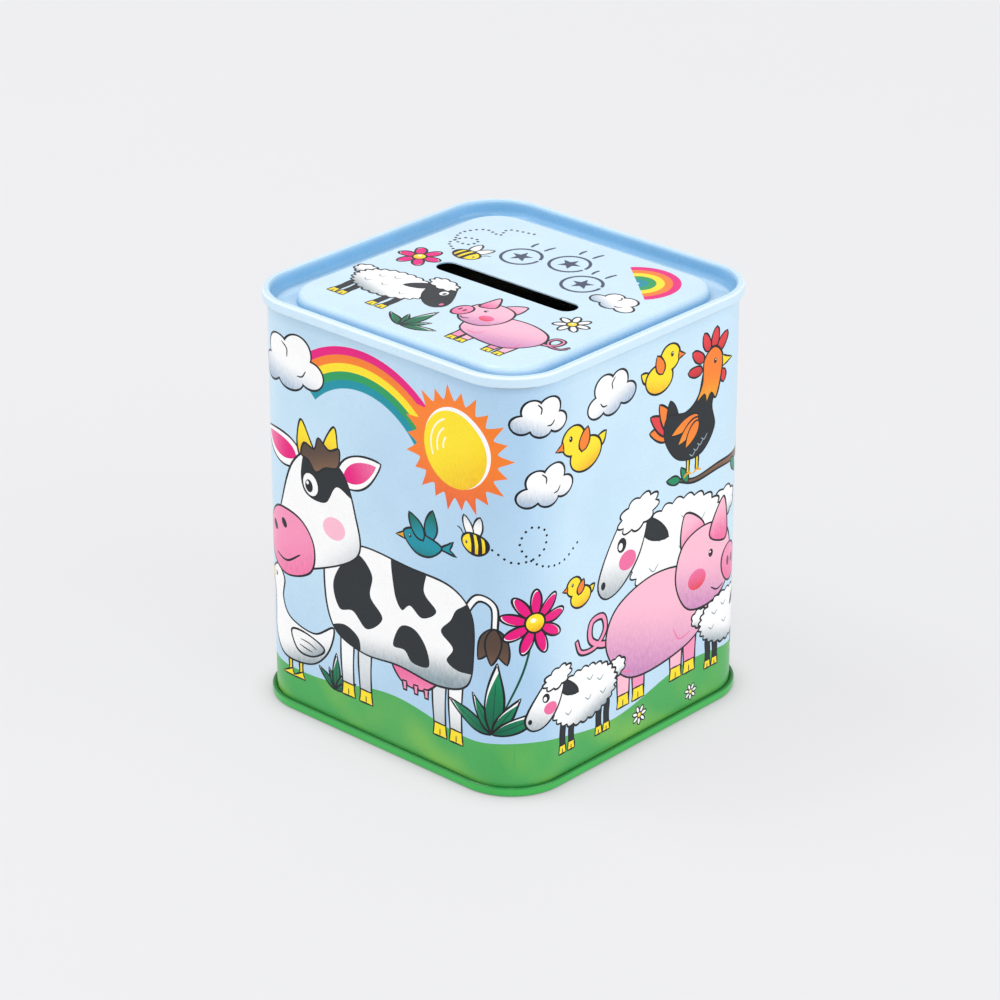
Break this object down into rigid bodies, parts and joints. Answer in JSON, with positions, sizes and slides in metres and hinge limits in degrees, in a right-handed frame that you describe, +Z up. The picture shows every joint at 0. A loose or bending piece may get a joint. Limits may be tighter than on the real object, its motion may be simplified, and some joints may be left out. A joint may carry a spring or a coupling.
{
  "type": "tin money box",
  "caption": "Square tinplate money box with rounded corners, a coin slot in its raised top and a push-in stopper in its base.",
  "frame": {"origin": "middle of the plane that the base seam rests on", "axes": "+Z up; the coin slot runs along X; the two sides that the picture shows are -Y and +X; the wall's lock seam is in the +Y side"},
  "size_m": [0.0772, 0.0772, 0.092],
  "materials": {
    "printed_tinplate": "gloss varnish over printing on tinplate",
    "blue_enamel": "gloss enamel on tinplate",
    "green_enamel": "gloss enamel on tinplate",
    "stopper_plastic": "satin soft moulded plastic"
  },
  "bodies": {
    "tin": {"body_wall": "printed_tinplate", "top_panel": "blue_enamel", "base_panel": "green_enamel"},
    "stopper": {"stopper": "stopper_plastic"}
  },
  "joints": [
    {"name": "stopper_pull", "type": "slide", "parent": "tin", "child": "stopper", "axis": [0, 0, -1], "range_m": [0, 0.03]}
  ]
}
